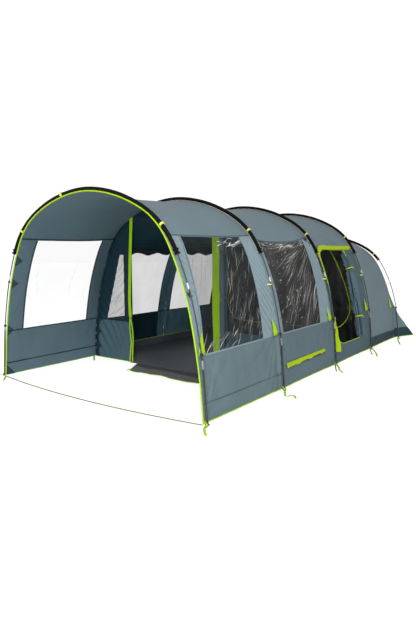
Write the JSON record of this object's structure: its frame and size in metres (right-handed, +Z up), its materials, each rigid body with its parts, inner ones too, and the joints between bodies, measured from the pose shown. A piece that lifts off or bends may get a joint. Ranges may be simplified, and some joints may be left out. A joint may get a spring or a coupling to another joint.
{
  "type": "tunnel tent",
  "caption": "Family tunnel tent on arched poles with steel legs, an open porch, a living room with clear windows and a side door, and a rear bedroom.",
  "frame": {"origin": "on the ground, at the centre of the tent's footprint box without the front ground strap", "axes": "+Z is up, -Y is the front with the open porch, +X is the near side with the side door"},
  "size_m": [3.38, 6.4974, 2.1198],
  "materials": {
    "fibreglass": "satin grey fibreglass rod",
    "sleeve_fabric": "black woven pole sleeve",
    "steel_leg": "black powder-coated steel with a bright ferrule",
    "roof_fabric": "coated blue-grey polyester, plain weave",
    "wall_fabric": "coated blue-grey polyester, plain weave",
    "clear_window": "clear flexible film, lightly crinkled",
    "groundsheet": "matt charcoal laminate",
    "sill_fabric": "matt grey laminate with lime piping",
    "inner_fabric": "black breathable polyester",
    "lime_trim": "lime webbing and piping",
    "vent_net": "black insect net",
    "zip_metal": "satin zip slider"
  },
  "bodies": {
    "root": {"hoop_1": "fibreglass", "sleeve_1": "sleeve_fabric", "near_leg_1": "steel_leg", "far_leg_1": "steel_leg", "hoop_2": "fibreglass", "sleeve_2": "sleeve_fabric", "near_leg_2": "steel_leg", "far_leg_2": "steel_leg", "hoop_3": "fibreglass", "sleeve_3": "sleeve_fabric", "near_leg_3": "steel_leg", "far_leg_3": "steel_leg", "hoop_4": "fibreglass", "sleeve_4": "sleeve_fabric", "near_leg_4": "steel_leg", "far_leg_4": "steel_leg", "hoop_5": "fibreglass", "sleeve_5": "sleeve_fabric", "near_leg_5": "steel_leg", "far_leg_5": "steel_leg", "roof_a": "roof_fabric", "near_wall_a": "wall_fabric", "far_wall_a": "wall_fabric", "roof_b": "roof_fabric", "near_wall_b": "wall_fabric", "far_wall_b": "wall_fabric", "roof_c": "roof_fabric", "near_wall_c": "wall_fabric", "far_wall_c": "wall_fabric", "roof_d": "roof_fabric", "near_wall_d": "wall_fabric", "far_wall_d": "wall_fabric", "rear_slope": "roof_fabric", "near_window_a": "clear_window", "near_window_b": "clear_window", "far_window_a": "clear_window", "far_window_b": "clear_window", "far_window_c": "clear_window", "front_wall": "wall_fabric", "front_window_near": "clear_window", "front_window_far": "clear_window", "groundsheet": "groundsheet", "front_ground_strap": "lime_trim", "bedroom_body": "inner_fabric", "bedroom_front": "inner_fabric", "side_door_roll": "wall_fabric", "front_door_roll": "wall_fabric", "curtain_roll_b": "inner_fabric", "curtain_roll_c": "inner_fabric", "side_door_gutter": "lime_trim", "vent_mesh": "vent_net"},
    "vent_flap": {"vent_hood": "lime_trim"},
    "sill_lip": {"door_sill_flap": "sill_fabric"},
    "front_zip_near": {"front_zip_slider_near": "zip_metal"},
    "front_zip_far": {"front_zip_slider_far": "zip_metal"},
    "side_zip": {"side_zip_slider": "zip_metal"},
    "bedroom_zip_near": {"bedroom_zip_slider_near": "zip_metal"},
    "bedroom_zip_far": {"bedroom_zip_slider_far": "zip_metal"}
  },
  "joints": [
    {"name": "vent_flap_hinge", "type": "hinge", "parent": "root", "child": "vent_flap", "pos_m": [1.4795, -1.134, 0.2686], "axis": [0, -1, 0], "range_deg": [0, 60]},
    {"name": "sill_lip_hinge", "type": "hinge", "parent": "root", "child": "sill_lip", "pos_m": [-0.08, -1.778, 0.002], "axis": [-1, 0, 0], "range_deg": [0, 85]},
    {"name": "front_zip_near_slide", "type": "slide", "parent": "root", "child": "front_zip_near", "axis": [0, 0, 1], "range_m": [0, 1.5]},
    {"name": "front_zip_far_slide", "type": "slide", "parent": "root", "child": "front_zip_far", "axis": [0, 0, 1], "range_m": [0, 1.5]},
    {"name": "side_zip_turn", "type": "hinge", "parent": "root", "child": "side_zip", "pos_m": [-2.4268, -0.228, -0.0798], "axis": [0, -1, 0], "range_deg": [0, 14.4]},
    {"name": "bedroom_zip_near_turn", "type": "hinge", "parent": "root", "child": "bedroom_zip_near", "pos_m": [-1.23, 1.108, 0.18], "axis": [0, -1, 0], "range_deg": [0, 19]},
    {"name": "bedroom_zip_far_turn", "type": "hinge", "parent": "root", "child": "bedroom_zip_far", "pos_m": [1.23, 1.108, 0.18], "axis": [0, 1, 0], "range_deg": [0, 19]}
  ]
}
